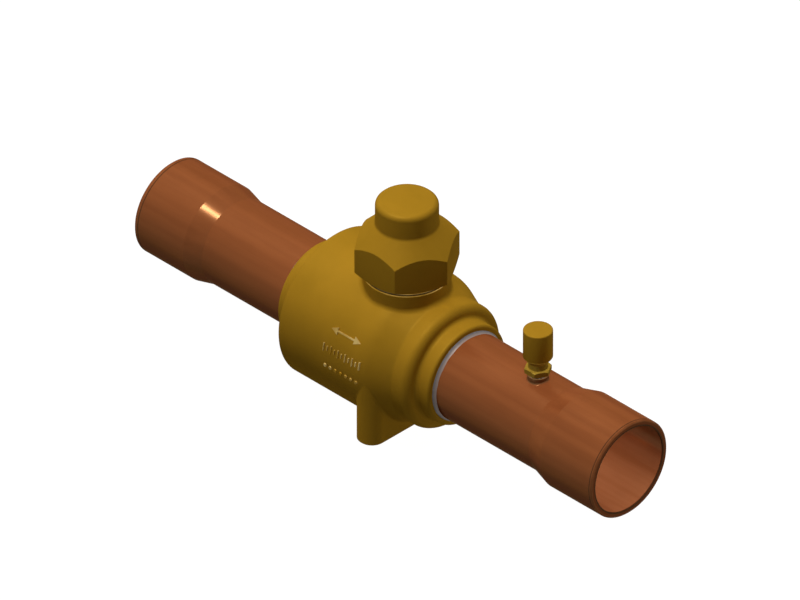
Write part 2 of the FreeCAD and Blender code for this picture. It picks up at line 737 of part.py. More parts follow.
def core_pin():
    """Pin with the spring's flange near its top and a foot that carries the seal."""
    foot_z = core_seal_z - PIN_FOOT_THICKNESS
    return turned_z([
        (foot_z, 0),
        (foot_z, CORE_SEAL_R),
        (core_seal_z, CORE_SEAL_R),
        (core_seal_z, PIN_R),
        (pin_flange_z, PIN_R),
        (pin_flange_z, PIN_FLANGE_R),
        (pin_flange_z + PIN_FLANGE_THICKNESS, PIN_FLANGE_R),
        (pin_flange_z + PIN_FLANGE_THICKNESS, PIN_R),
        (pin_top_z, PIN_R),
        (pin_top_z, 0)], port_x)


def core_seal():
    disc = cylinder_z(CORE_SEAL_R, core_seal_z, core_bottom_z, port_x)
    return disc.cut(cylinder_z(PIN_R, core_seal_z, core_bottom_z, port_x))


def core_spring():
    """Coil spring between the core's ledge and the pin's flange."""
    coil_r = PIN_FLANGE_R - SPRING_WIRE_R
    bottom_z = core_ledge_z + SPRING_WIRE_R
    height = pin_flange_z - core_ledge_z - 2 * SPRING_WIRE_R
    path = Part.makeHelix(height / SPRING_TURNS, height, coil_r)
    section = Part.Wire(Part.makeCircle(SPRING_WIRE_R, V(coil_r, 0, 0), Y_AXIS))
    coil = Part.Wire(path.Edges).makePipeShell([section], True, True)
    coil.translate(V(port_x, 0, bottom_z))
    return coil


def access_cap():
    """Plain round cap, bored for the fitting's thread."""
    outside = turned_z([
        (access_cap_z, 0),
        (access_cap_z, ACCESS_CAP_R),
        (access_cap_top_z - ACCESS_CAP_CHAMFER, ACCESS_CAP_R),
        (access_cap_top_z, ACCESS_CAP_R - ACCESS_CAP_CHAMFER),
        (access_cap_top_z, 0)], port_x)
    return outside.cut(cylinder_z(port_root_r + THREAD_GAP, access_cap_z, access_ceiling_z, port_x))


def access_cap_seal():
    seal_r = port_root_r + THREAD_GAP - ACCESS_SEAL_INSET
    return cylinder_z(seal_r, port_top_z, access_ceiling_z, port_x)


def all_pieces():
    """Every piece of the valve by its node name, about the ball's centre."""
    return {
        "valve_body": valve_body(),
        "end_connector": end_connector(),
        "connector_seal": connector_seal(),
        "ball": ball(),
        "seat_near": seat_near(),
        "seat_far": mirrored(seat_near()),
        "seat_backing_near": seat_backing_near(),
        "seat_backing_far": mirrored(seat_backing_near()),
        "stem": stem(),
        "stem_thrust_washer": stem_thrust_washer(),
        "stem_o_ring_lower": stem_o_ring(STEM_SEAL_LOWER_Z),
        "stem_o_ring_upper": stem_o_ring(STEM_SEAL_UPPER_Z),
        "stop_pin": stop_pin_blank(STOP_PIN_R),
        "cap_gasket": cap_gasket(),
        "seal_cap": seal_cap(),
        "near_tube": near_tube(),
        "far_tube": far_tube(),
        "near_braze_ring": braze_ring(collar_end_x, 1),
        "far_braze_ring": braze_ring(far_collar_end_x, -1),
        "access_fitting": access_fitting(),
        "access_braze_ring": access_braze_ring(),
        "core_body": core_body(),
        "core_gasket": core_gasket(),
        "core_pin": core_pin(),
        "core_seal": core_seal(),
        "core_spring": core_spring(),
        "access_cap": access_cap(),
        "access_cap_seal": access_cap_seal(),
    }


def export(pieces):
    """Moves each piece so that the foot's hole pattern is the origin, and writes its STEP file."""
    os.makedirs("parts", exist_ok=True)
    for node, shape in pieces.items():
        shape.translate(V(-foot_x, 0, -foot_bottom_z))
        shape.exportStep("parts/" + node + ".step")
        print(node, len(shape.Solids), round(shape.Volume, 1), shape.isValid())


export(all_pieces())
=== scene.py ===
"""Looks of the refrigerant service valve: materials, threads, relief, braze and the studio."""
import json
import math

import bmesh
import bpy
from mathutils import Matrix, Vector, noise


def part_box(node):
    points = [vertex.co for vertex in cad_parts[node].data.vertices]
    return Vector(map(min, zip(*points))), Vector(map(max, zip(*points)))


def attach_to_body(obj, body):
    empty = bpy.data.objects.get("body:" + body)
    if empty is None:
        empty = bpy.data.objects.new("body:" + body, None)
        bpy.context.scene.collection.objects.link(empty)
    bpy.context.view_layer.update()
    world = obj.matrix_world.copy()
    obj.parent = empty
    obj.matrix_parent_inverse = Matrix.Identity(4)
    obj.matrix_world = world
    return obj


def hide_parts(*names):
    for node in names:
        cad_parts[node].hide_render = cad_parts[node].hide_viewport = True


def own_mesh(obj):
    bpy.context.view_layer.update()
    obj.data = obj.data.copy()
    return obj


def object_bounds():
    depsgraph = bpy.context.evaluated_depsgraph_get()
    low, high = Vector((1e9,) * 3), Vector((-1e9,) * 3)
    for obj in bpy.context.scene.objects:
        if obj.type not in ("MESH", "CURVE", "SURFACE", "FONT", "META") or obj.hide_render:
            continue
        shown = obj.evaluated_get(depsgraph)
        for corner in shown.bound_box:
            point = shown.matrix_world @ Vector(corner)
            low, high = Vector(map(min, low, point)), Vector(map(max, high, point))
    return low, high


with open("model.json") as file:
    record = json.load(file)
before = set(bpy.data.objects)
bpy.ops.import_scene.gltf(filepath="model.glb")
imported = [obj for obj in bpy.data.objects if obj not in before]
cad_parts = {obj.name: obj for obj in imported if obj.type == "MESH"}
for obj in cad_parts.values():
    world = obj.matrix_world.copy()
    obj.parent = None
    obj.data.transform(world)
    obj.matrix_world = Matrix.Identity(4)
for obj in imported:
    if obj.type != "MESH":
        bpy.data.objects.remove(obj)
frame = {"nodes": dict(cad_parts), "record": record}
cad_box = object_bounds()
nodes = frame["nodes"]

MM = 0.001

# The photograph's frame: an isometric view without perspective
PHOTO_WIDTH_PX = 800
PX_PER_MM = 2.2595
VIEW_RIGHT = Vector((1, 1, 0)).normalized()
VIEW_UP = Vector((-1, 1, 2)).normalized()
VIEW_BACK = Vector((1, -1, 1)).normalized()
CENTRE_SHIFT_RIGHT = -3.10 * MM
CENTRE_SHIFT_UP = 18.15 * MM
CAMERA_DISTANCE = 1.2
CAMERA_REACH = 10

# Lamps: direction to the lamp, strength, how many degrees wide it looks, whether it casts
# shadows and whether it shines in the metal. Like the photograph's light, all but the overhead
# lamp fill in what they would shade, and only the front lamp makes highlights.
LAMPS = {
    "front_lamp": ((-0.135, -0.265, 0.956), 1.74, 9.2, False, True),
    "left_lamp": ((-0.412, 0.074, 0.908), 1.37, 40, False, False),
    "back_lamp": ((0.44, 0.77, -0.46), 0.74, 30, False, False),
    "overhead_lamp": ((0.10, -0.10, 1.0), 0.35, 16, True, False),
}
WHITE = (1, 1, 1, 1)
WORLD_STRENGTH = 0.03
FLOOR_SIZE = 6.0
FLOOR_DROP = 0.1 * MM
FLOOR_GLOW = 0.62
FLOOR_SHADE = 0.42
FLOOR_BOUNCE = 0.12

# Meshes: steps round a hexagon's sector and its corners, steps of a rounding, the gap below which
# points are joined, the size below which a face is dropped, and the least sharp angle
HEX_SIDES = 6
HEX_SECTOR_DEG = 60
HEX_SIDE_STEP_DEG = 2.5
CORNER_STEPS = 3
ROUNDING_STEPS = 4
JOIN_GAP = 0.0008 * MM
SLIVER_SIZE = 0.0004 * MM
SMOOTH_DEG = 28

# Seal cap, in millimetres above its lower face
CAP_BOSS_R = 18.9
CAP_BOSS_HEIGHT = 0.9
HEX_TURN_DEG = 2.1
HEX_VERTEX_R = 24.4
HEX_BOTTOM_R = 19.4
HEX_BOTTOM_RISE = 2.9
HEX_SIDE_HEIGHT = 12.2
KNOB_R = 14.25
KNOB_HEIGHT = 11.8
KNOB_FILLET = 2.0
KNOB_ROUND = 2.5
KNOB_BORE_R = 11.0
KNOB_BORE_ROUND = 1.0
KNOB_TOP_WALL = 5.8
CAP_BORE_TOP = 13.7
CAP_CONE_HEIGHT = 4.5
CAP_EDGE = 0.35
CAP_EDGE_STEPS = 5
CAP_MOUTH_CHAMFER = 0.6

# Threads, right-handed: (fraction of the pitch, fraction of the depth) up one ridge, and how many
# ridges more than the thread's length are laid out at each end before they are cut off
THREAD_SHAPE = ((0.0, 0.0), (0.2, 0.0), (0.52, 1.0), (0.68, 1.0), (1.0, 0.0))
SPARE_RIDGES = 2
THREAD_ROOM = 0.06
CAP_PITCH = 1.5
CAP_ROOT_R = 15.72
CAP_THREAD_DEPTH = 0.78
CAP_THREAD_LOW = 0.9
CAP_THREAD_HIGH = 9.3
CAP_THREAD_SLEEVE = 0.4
BONNET_STEPS = 144
PORT_PITCH = 1.27
PORT_ROOT_R = 4.86
PORT_THREAD_DEPTH = 0.7

# Access fitting: its steps' heights above the ball's centre, their radii, and its edges
SPIGOT_R = 3.6
FITTING_STEP_Z = 23.8
FITTING_HEX_Z = 24.7
FITTING_HEX_TOP_Z = 27.3
FITTING_HEX_VERTEX_R = 6.35
FITTING_HEX_CHAMFER_R = 5.6
FITTING_HEX_CHAMFER_DEG = 30
FITTING_HEX_STEP_DEG = 3
FITTING_SHOULDER_Z = 30.2
FITTING_THREAD_Z = 32.95
FITTING_NECK_R = 4.4
FITTING_SHOULDER_R = 6.6
FITTING_MOUTH_R = 4.26
FITTING_HEAD_BORE_R = 2.9
FITTING_HEAD_Z = 38.85
FITTING_CORE_BORE_R = 2.0
FITTING_CORE_Z = 27.55
FITTING_PASSAGE_R = 1.3
FITTING_EDGE = 0.15
LEAST_CHAMFER = 0.01

# Access cap, in millimetres above its lower face
ACCESS_CAP_ROUND = 0.55
ACCESS_CAP_CEILING = 11.9
ACCESS_CAP_THREAD_START = 0.05
ACCESS_CAP_STEPS = 96

# Spring of the valve core, with one closed turn at each end
SPRING_WIRE_R = 0.15
SPRING_TURNS = 5
SPRING_CLOSED_TURNS = 2
SPRING_STEPS = 32
SPRING_WIRE_SIDES = 12

# Braze metal between a collar and its tube: a fillet that feathers out on the tube, uneven by
# slow waves and finer ripples. Its rise varies by a share of what its length does.
TUBE_R = 21.0
BRAZE_RISE = 0.95
BRAZE_LENGTH = 1.7
BRAZE_SINK = 0.2
BRAZE_FEATHER = 0.04
BRAZE_CURVE_STEPS = 6
BRAZE_CURVE_POWER = 1.7
BRAZE_WAVE = 0.12
BRAZE_WAVE_SCALE = 3.0
BRAZE_RIPPLE_SCALE = 9.0
BRAZE_RIPPLE_SEED = 5
BRAZE_RISE_SHARE = 0.25
BRAZE_STEPS = 180

# Braze bead between the pulled collar and the access fitting
PORT_BRAZE_R = 4.3
PORT_BRAZE_TAPER = 0.15
PORT_BRAZE_FOOT_ROUND = 0.1
PORT_BRAZE_TOP_ROUND = 0.2
PORT_BRAZE_WAVE = 0.12
PORT_WAVE_SCALE = 4.0
PORT_WAVE_SEED = 11
PORT_RIPPLE_SCALE = 12.0
PORT_RIPPLE_SEED = 17
PORT_RIPPLE_SHARE = 0.5
PORT_BRAZE_BULGE = 0.5
PORT_BRAZE_STEPS = 120

# Bright beads on the edges above and below the seal cap's gasket, a painted highlight
RIM_BEAD_R = 0.14
RIM_BEAD_SIDES = 8
RIM_STEPS = 180
NECK_RIM_R = 19.5
NECK_RIM_HEIGHT = -0.12
CAP_RIM_R = 19.0
CAP_RIM_HEIGHT = 0.14

# Raised marks on the barrel, three rows at angles from +Y over the top: an arrow, bars and dots
BARREL_R = 36.0
RELIEF_HEIGHT = 0.5
RELIEF_SHOULDER = 0.7
RELIEF_SINK = 0.3
RELIEF_DRAFT = 0.2
RELIEF_ROWS_DEG = (153.5, 169.5, 184.0)
RELIEF_CENTRE_X = -5.6
ARROW_REACH = 18
ARROW_HEAD = 4.0
ARROW_STEM_WIDTH = 0.9
ARROW_HEAD_WIDTH = 3.8
BAR_COUNT = 11
BAR_START_X = -11
BAR_SPACING = 2.2
BAR_LENGTH = 0.8
BAR_HEIGHTS = (4.0, 2.4)
DOT_COUNT = 7
DOT_START_X = -9.6
DOT_SPACING = 3.2
DOT_R = 0.95
DOT_SIDES = 16

# Colours of the metals, and the share and tint of the gloss that lights their highlights
BRASS_DARK = (0.340, 0.177, 0.0108, 1)
BRASS_LIGHT = (0.372, 0.193, 0.0122, 1)
# Wear and painted highlight: the bright brass of the raised marks and of the beads by the gasket
BRASS_WORN_HIGHLIGHT = (0.64, 0.47, 0.17, 1)
FITTING_DARK = (0.325, 0.198, 0.022, 1)
FITTING_LIGHT = (0.355, 0.216, 0.026, 1)
BRASS_TINT = (0.40, 0.32, 0.15, 1)
BRASS_GLOSS = (1.0, 0.85, 0.30, 1)
BRASS_GLOSS_SHARE = 0.008
BRASS_METALLIC = 0.08
WORN_HIGHLIGHT_METALLIC = 0.2
COPPER_DARK = (0.235, 0.063, 0.0180, 1)
COPPER_LIGHT = (0.285, 0.081, 0.0240, 1)
# Painted shade: a dark line near each tube end and a dark lip at the inner edge of the cut ends
COPPER_PAINTED_EDGE_SHADE = (0.080, 0.026, 0.010, 1)
# Painted light: a lighter colour inside the tubes and sockets
COPPER_INSIDE_PAINTED_LIGHT = (0.350, 0.118, 0.0450, 1)
# Painted shade on the cut end faces of the tubes
COPPER_CUT_PAINTED_SHADE = (0.215, 0.043, 0.011, 1)
# Painted light: a paler, lighter colour on one inner side of the sockets
COPPER_SOCKET_PAINTED_LIGHT = (0.400, 0.225, 0.105, 1)
# Painted shade on the pulled collar round the access port
COPPER_PORT_PAINTED_SHADE = (0.240, 0.125, 0.050, 1)
COPPER_TINT = (0.40, 0.27, 0.17, 1)
COPPER_GLOSS = (1.0, 0.90, 0.45, 1)
COPPER_GLOSS_SHARE = 0.012
COPPER_METALLIC = 0.10
BRAZE_DARK = (0.125, 0.12, 0.125, 1)
BRAZE_LIGHT = (0.18, 0.172, 0.172, 1)
BRAZE_WARM = (0.27, 0.205, 0.178, 1)
# Painted shade on the port's braze bead, with pale specks of painted glint
PORT_BRAZE_PAINTED_SHADE = (0.06, 0.035, 0.015, 1)
PORT_BRAZE_PAINTED_GLINT = (0.50, 0.46, 0.38, 1)
BRAZE_METALLIC = 0.2
BRAZE_SHINE = 0.3

# Noise in the materials: features a millimetre, and detail, about this middle value
NOISE_MIDDLE = 0.5
BRASS_MOTTLE = (0.07, 4.0)
BRASS_PEEL = (0.45, 2.0)
BRASS_GRAIN = (3.0, 2.0)
BRASS_TURNING = (3.0, 3.0)
COPPER_CLOUD = (0.08, 4.0)
COPPER_BANDS = (0.22, 1.0)
COPPER_LINES = (2.2, 3.0)
BRAZE_STAIN = (0.5, 5.0)
BRAZE_GRAIN = (1.0, 2.0)
PLAIN_MOTTLE = (0.2, 3.0)
PLAIN_GRAIN = (3.0, 2.0)

# How the copper's noises are drawn out along the pipe, and their shares in its shade
CLOUD_STRETCH = (0.35, 1, 1)
BANDS_STRETCH = (0.01, 1, 1)
LINES_STRETCH = (0.03, 1, 1)
CLOUD_SHARE = 0.35
BANDS_SHARE = 0.50
LINES_SHARE = 0.15

# How far from its middle a noise has its full effect, on the colour and on the roughness
MOTTLE_REACH = 0.15
COPPER_REACH = 0.12
STAIN_REACH = 0.2
GLINT_REACH = 0.04
ROUGH_REACH = 0.2

# Roughness where the noise is low and where it is high, or how far it varies either way
COPPER_ROUGHNESS = (0.17, 0.22)
BRAZE_ROUGHNESS = (0.55, 0.45)
BRASS_ROUGH_VARIES = 0.05
PLAIN_ROUGH_VARIES = 0.04

# Depths of the bumps in millimetres
TURNING_DEPTH = 0.012
PEEL_DEPTH = 0.03
GRAIN_DEPTH = 0.008
LINES_DEPTH = 0.006
BRAZE_GRAIN_DEPTH = 0.02
PLAIN_GRAIN_DEPTH = 0.01

# The least share of the painted light colour inside the tubes, and how dark an inner material's mottle
# gets, as a share of its colour
LEAST_INSIDE_PAINTED_LIGHT = 0.4
PLAIN_DARKER = 0.85

# Places on the tubes in millimetres: the line of painted shade round each and how far it is from the
# end, the cut end with its lip in painted shade, the inside in painted light, more painted light in the
# sockets about a direction from their axis, and painted shade round the access port, from the port's
# axis and above the pipe's
NEAR_END_LINE = 1.3
FAR_END_LINE = 2.3
TUBE_LINE_WIDTH = 0.5
CUT_END_DEPTH = 0.7
CUT_END_R = 22.8
CUT_LIP_R = 21.75
TUBE_OUTSIDE_R = 22.3
TUBE_INSIDE_R = 20.0
SOCKET_DEPTH = 30.0
SOCKET_LIGHT_SIDE = (0, 0.94, 0.34)
SOCKET_LIGHT_START = 19.2
SOCKET_LIGHT_FULL = 20.8
PORT_SHADE_R = 4.75
PORT_SHADE_FADE_R = 5.1
PORT_SHADE_LOW_Z = 15.0

# Radii between which the braze rings turn warmer as they thin out on the tube
BRAZE_COLLAR_R = 21.8
BRAZE_FEATHER_R = 21.1

# Numbers of the Mix node's colour sockets, whose names it has more than once
MIX_FIRST = 6
MIX_SECOND = 7
MIX_RESULT = 2


def centre_of(node):
    low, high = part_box(node)
    return (low + high) / 2


VALVE_CENTRE = Vector((centre_of("stem_o_ring_lower").x, *centre_of("seat_near").yz))
PORT_CENTRE = Vector((centre_of("core_gasket").x, *VALVE_CENTRE.yz))
CAP_FOOT = Vector((*VALVE_CENTRE.xy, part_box("seal_cap")[0].z))
NECK_TOP = Vector((*VALVE_CENTRE.xy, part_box("cap_gasket")[0].z))
ALONG_Z = Matrix.Identity(3)
ALONG_X = Matrix(((0, 0, 1), (0, 1, 0), (-1, 0, 0)))


def even_angles(count):
    """Degrees once round, with the first angle again at the end."""
    return [360 * i / count for i in range(count + 1)]


def corner_half_angle(vertex_r, rounding):
    """Degrees between a hexagon's vertex and the end of its rounding."""
    return math.degrees(math.atan2(rounding / 2, vertex_r - rounding * math.sqrt(3) / 6))


def hexagon_angles(turn_deg, vertex_r, rounding, step=HEX_SIDE_STEP_DEG):
    """Degrees once round a hexagon, close together at its rounded corners."""
    edge = corner_half_angle(vertex_r, rounding)
    side_steps = round(HEX_SECTOR_DEG / step)
    sector = [edge * k / CORNER_STEPS for k in range(-CORNER_STEPS, CORNER_STEPS + 1)]
    sector += [HEX_SECTOR_DEG * k / side_steps for k in range(1, side_steps)]
    corners = [turn_deg + HEX_SECTOR_DEG * corner for corner in range(HEX_SIDES)]
    angles = [corner + offset for corner in corners for offset in sector]
    return angles + [turn_deg + 360 - edge]


def hexagon_radius(angle_deg, turn_deg, vertex_r, rounding):
    """Distance from the axis to a hexagon with rounded corners."""
    half_sector = HEX_SECTOR_DEG / 2
    half_cosine = math.cos(math.radians(half_sector))
    off_vertex = abs((angle_deg - turn_deg + half_sector) % HEX_SECTOR_DEG - half_sector)
    if off_vertex >= corner_half_angle(vertex_r, rounding):
        return vertex_r * half_cosine / math.cos(math.radians(half_sector - off_vertex))
    centre = vertex_r - rounding / half_cosine
    along = centre * math.cos(math.radians(off_vertex))
    across = centre * math.sin(math.radians(off_vertex))
    return along + math.sqrt(rounding ** 2 - across ** 2)


def rounded(corners, steps=ROUNDING_STEPS):
    """Points through (radius, height, rounding) corners."""
    points = []
    for i, (radius, height, rounding) in enumerate(corners):
        here = Vector((radius, height))
        if not rounding:
            points.append(here)
            continue
        back = (Vector(corners[i - 1][:2]) - here).normalized()
        ahead = (Vector(corners[i + 1][:2]) - here).normalized()
        half = back.angle(ahead) / 2
        centre = here + (back + ahead).normalized() * rounding / math.sin(half)
        start = here + back * rounding / math.tan(half) - centre
        finish = here + ahead * rounding / math.tan(half) - centre
        for k in range(steps + 1):
            outwards = start.lerp(finish, k / steps).normalized()
            points.append(centre + outwards * rounding)
    return points


def thread_lift(phase):
    """Height of the thread's ridge, 0 to 1, at a fraction of its pitch."""
    for (before, low), (after, high) in zip(THREAD_SHAPE, THREAD_SHAPE[1:]):
        if phase <= after:
            return low + (high - low) * (phase - before) / (after - before)
    return 0.0


def thread_rows(angle_deg, low, high, pitch, root_r, depth, fade):
    """Points up a right-hand thread at one angle, whose rows follow the helix."""
    turn = angle_deg / 360
    points = []
    for ridge in range(-SPARE_RIDGES, math.ceil((high - low) / pitch) + SPARE_RIDGES):
        for fraction, _ in THREAD_SHAPE[:-1]:
            height = min(max(low + (ridge + fraction + turn) * pitch, low), high)
            phase = ((height - low) / pitch - turn) % 1
            ends = min((height - low) / fade, (high - height) / fade, 1)
            points.append(Vector((root_r + depth * thread_lift(phase) * ends, height)))
    return points


def spun(name, column, angles, centre, axes=ALONG_Z, ring=False, smooth_deg=SMOOTH_DEG):
    """Mesh of a column of (radius, height) points in millimetres, swept once round a centre."""
    work = bmesh.new()
    columns = []
    for angle in angles:
        out = Vector((math.cos(math.radians(angle)), math.sin(math.radians(angle)), 0))
        places = [out * p.x + Vector((0, 0, p.y)) for p in column(angle)]
        columns.append([work.verts.new(centre + axes @ p * MM) for p in places])
    for left, right in zip(columns, columns[1:]):
        count = len(left)
        for k in range(count if ring else count - 1):
            after = (k + 1) % count
            work.faces.new((left[k], right[k], right[after], left[after]))
    bmesh.ops.remove_doubles(work, verts=work.verts, dist=JOIN_GAP)
    return finished(name, work, smooth_deg)


def finished(name, work, smooth_deg):
    """Object of a finished bmesh, smooth apart from its sharp edges."""
    bmesh.ops.dissolve_degenerate(work, edges=work.edges, dist=SLIVER_SIZE)
    bmesh.ops.recalc_face_normals(work, faces=work.faces)
    mesh = bpy.data.meshes.new(name)
    work.to_mesh(mesh)
    work.free()
    for face in mesh.polygons:
        face.use_smooth = True
    mesh.set_sharp_from_angle(angle=math.radians(smooth_deg))
    piece = bpy.data.objects.new(name, mesh)
    bpy.context.scene.collection.objects.link(piece)
    return piece


def attach(piece, body, slot, material, *replaced):
    """Puts a piece on a body, with its finish and the nodes that it stands for."""
    piece.data.materials.append(material)
    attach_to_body(piece, body)
    if replaced:
        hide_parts(*replaced)


def make_seal_cap(materials):
    """Hexagon cap with its round knob, broken edges and the female thread."""
    hex_z = CAP_BOSS_HEIGHT
    side_z = hex_z + HEX_BOTTOM_RISE
    top_z = side_z + HEX_SIDE_HEIGHT
    root_z = top_z + HEX_VERTEX_R - KNOB_R
    knob_z = root_z + KNOB_HEIGHT
    datum = (NECK_TOP.z - CAP_FOOT.z) / MM
    bore_r = CAP_ROOT_R + THREAD_ROOM
    under_slope = HEX_BOTTOM_RISE / (HEX_VERTEX_R - HEX_BOTTOM_R)

    def column(angle):
        side_r = hexagon_radius(angle, HEX_TURN_DEG, HEX_VERTEX_R, CAP_EDGE)
        outside = rounded([
            (0, knob_z, 0),
            (KNOB_R, knob_z, KNOB_ROUND),
            (KNOB_R, root_z, KNOB_FILLET),
            (side_r, top_z + HEX_VERTEX_R - side_r, CAP_EDGE),
            (side_r, hex_z + (side_r - HEX_BOTTOM_R) * under_slope, CAP_EDGE),
            (HEX_BOTTOM_R, hex_z, CAP_EDGE / 2),
            (CAP_BOSS_R, hex_z, CAP_EDGE / 2),
            (CAP_BOSS_R, 0, CAP_EDGE / 2),
            (bore_r + CAP_THREAD_DEPTH + CAP_MOUTH_CHAMFER, 0, 0)], CAP_EDGE_STEPS)
        thread = thread_rows(
            angle, datum + CAP_THREAD_LOW, datum + CAP_THREAD_HIGH, CAP_PITCH,
            bore_r, CAP_THREAD_DEPTH, 2 * CAP_MOUTH_CHAMFER)
        inside = rounded([
            (bore_r, CAP_BORE_TOP, 0),
            (KNOB_BORE_R, CAP_BORE_TOP + CAP_CONE_HEIGHT, 0),
            (KNOB_BORE_R, knob_z - KNOB_TOP_WALL, KNOB_BORE_ROUND),
            (0, knob_z - KNOB_TOP_WALL, 0)])
        return outside + thread + inside

    angles = hexagon_angles(HEX_TURN_DEG, HEX_VERTEX_R, CAP_EDGE)
    cap = spun("seal_cap_detail", column, angles, CAP_FOOT)
    attach(cap, "seal_cap", "turned_brass", materials["turned_brass"], "seal_cap")


def make_bonnet_thread(materials):
    """Ridges of the seal cap's thread round the bonnet."""
    inner_r = CAP_ROOT_R - CAP_THREAD_SLEEVE

    def column(angle):
        thread = thread_rows(
            angle, CAP_THREAD_LOW, CAP_THREAD_HIGH, CAP_PITCH,
            CAP_ROOT_R, CAP_THREAD_DEPTH, CAP_MOUTH_CHAMFER)
        return [Vector((inner_r, CAP_THREAD_LOW))] + thread + [Vector((inner_r, CAP_THREAD_HIGH))]

    sleeve = spun("bonnet_thread", column, even_angles(BONNET_STEPS), NECK_TOP, ring=True)
    attach(sleeve, "valve_body", "forged_brass", materials["machined_brass"])


def make_access_fitting(materials):
    """Turned fitting with a chamfered hexagon, a cone and the cap's male thread."""
    low_z = (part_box("access_fitting")[0].z - VALVE_CENTRE.z) / MM
    top_z = (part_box("access_fitting")[1].z - VALVE_CENTRE.z) / MM
    flare_z = top_z - (PORT_ROOT_R - FITTING_MOUTH_R)
    slope = math.tan(math.radians(FITTING_HEX_CHAMFER_DEG))
    edge = FITTING_EDGE

    def column(angle):
        hex_r = hexagon_radius(angle, 0, FITTING_HEX_VERTEX_R, edge)
        chamfer_r = min(FITTING_HEX_CHAMFER_R, hex_r - LEAST_CHAMFER)
        drop = max(hex_r - FITTING_HEX_CHAMFER_R, LEAST_CHAMFER) * slope
        lower = rounded([
            (FITTING_PASSAGE_R, low_z, 0),
            (SPIGOT_R, low_z, 0),
            (SPIGOT_R, FITTING_STEP_Z, 0),
            (FITTING_NECK_R, FITTING_STEP_Z, edge),
            (FITTING_NECK_R, FITTING_HEX_Z, edge),
            (chamfer_r, FITTING_HEX_Z, 0),
            (hex_r, FITTING_HEX_Z + drop, 0),
            (hex_r, FITTING_HEX_TOP_Z - drop, 0),
            (chamfer_r, FITTING_HEX_TOP_Z, 0),
            (FITTING_NECK_R, FITTING_HEX_TOP_Z, 2 * edge),
            (FITTING_NECK_R, FITTING_SHOULDER_Z, 2 * edge),
            (FITTING_SHOULDER_R, FITTING_THREAD_Z, edge),
            (PORT_ROOT_R, FITTING_THREAD_Z, 0)])
        thread = thread_rows(
            angle, FITTING_THREAD_Z, flare_z, PORT_PITCH,
            PORT_ROOT_R, PORT_THREAD_DEPTH, PORT_THREAD_DEPTH)
        bore = rounded([
            (FITTING_MOUTH_R, top_z, 0),
            (FITTING_HEAD_BORE_R, top_z, 0),
            (FITTING_HEAD_BORE_R, FITTING_HEAD_Z, 0),
            (FITTING_CORE_BORE_R, FITTING_HEAD_Z, 0),
            (FITTING_CORE_BORE_R, FITTING_CORE_Z, 0),
            (FITTING_PASSAGE_R, FITTING_CORE_Z, 0)])
        return lower + thread + bore

    angles = hexagon_angles(0, FITTING_HEX_VERTEX_R, edge, FITTING_HEX_STEP_DEG)
    fitting = spun("access_fitting_detail", column, angles, PORT_CENTRE, ring=True)
    attach(fitting, "valve_body", "turned_brass", materials["fitting_brass"], "access_fitting")


def make_access_cap(materials):
    """Round cap with soft edges and its female thread."""
    low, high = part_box("access_cap")
    foot = Vector((*PORT_CENTRE.xy, low.z))
    height = (high.z - low.z) / MM
    outer_r = (high.x - low.x) / 2 / MM
    thread_low = FITTING_THREAD_Z - (low.z - VALVE_CENTRE.z) / MM
    thread_high = (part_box("access_fitting")[1].z - low.z) / MM - (PORT_ROOT_R - FITTING_MOUTH_R)
    bore_r = PORT_ROOT_R + THREAD_ROOM

    def column(angle):
        outside = rounded([
            (0, height, 0),
            (outer_r, height, ACCESS_CAP_ROUND),
            (outer_r, 0, FITTING_EDGE),
            (bore_r + PORT_THREAD_DEPTH + FITTING_EDGE, 0, 0)])
        thread = thread_rows(
            angle, thread_low, thread_high, PORT_PITCH,
            bore_r, PORT_THREAD_DEPTH, PORT_THREAD_DEPTH / 2)
        thread = [Vector((p.x, max(p.y, ACCESS_CAP_THREAD_START))) for p in thread]
        ceiling = [Vector((bore_r, ACCESS_CAP_CEILING)), Vector((0, ACCESS_CAP_CEILING))]
        return outside + thread + ceiling

    cap = spun("access_cap_detail", column, even_angles(ACCESS_CAP_STEPS), foot)
    attach(cap, "access_cap", "turned_brass", materials["port_brass"], "access_cap")


def make_core_spring(materials):
    """Valve core's coil spring with closed end turns."""
    low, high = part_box("core_spring")
    foot = Vector((*PORT_CENTRE.xy, low.z))
    height = (high.z - low.z) / MM
    coil_r = (high.x - low.x) / 2 / MM - SPRING_WIRE_R
    closed = 2 * SPRING_WIRE_R
    open_height = height - (SPRING_CLOSED_TURNS + 1) * closed
    pitch = open_height / (SPRING_TURNS - SPRING_CLOSED_TURNS)
    work = bmesh.new()
    rings = []
    for step in range(SPRING_TURNS * SPRING_STEPS + 1):
        turn = step / SPRING_STEPS
        end_turns = min(turn, 1) + max(turn - SPRING_TURNS + 1, 0)
        lift = SPRING_WIRE_R + closed * end_turns + pitch * (turn - end_turns)
        out = Vector((math.cos(math.tau * turn), math.sin(math.tau * turn), 0))
        ring = []
        for side in range(SPRING_WIRE_SIDES):
            lean = math.tau * side / SPRING_WIRE_SIDES
            radius = coil_r + SPRING_WIRE_R * math.cos(lean)
            rise = lift + SPRING_WIRE_R * math.sin(lean)
            place = out * radius + Vector((0, 0, rise))
            ring.append(work.verts.new(foot + place * MM))
        rings.append(ring)
    for before, after in zip(rings, rings[1:]):
        for k in range(SPRING_WIRE_SIDES):
            beside = (k + 1) % SPRING_WIRE_SIDES
            work.faces.new((before[k], after[k], after[beside], before[beside]))
    work.faces.new(rings[0])
    work.faces.new(rings[-1])
    spring = finished("core_spring_detail", work, smooth_deg=40)
    attach(spring, "valve_body", "spring_steel", materials["spring_steel"], "core_spring")
    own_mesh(spring)


def wave(angle_deg, seed, scale):
    """Smooth unevenness round a ring, from -1 to 1, finer for a larger scale."""
    turn = math.radians(angle_deg)
    return noise.noise(Vector((math.cos(turn), math.sin(turn), 0)) * scale + Vector((0, 0, seed)))


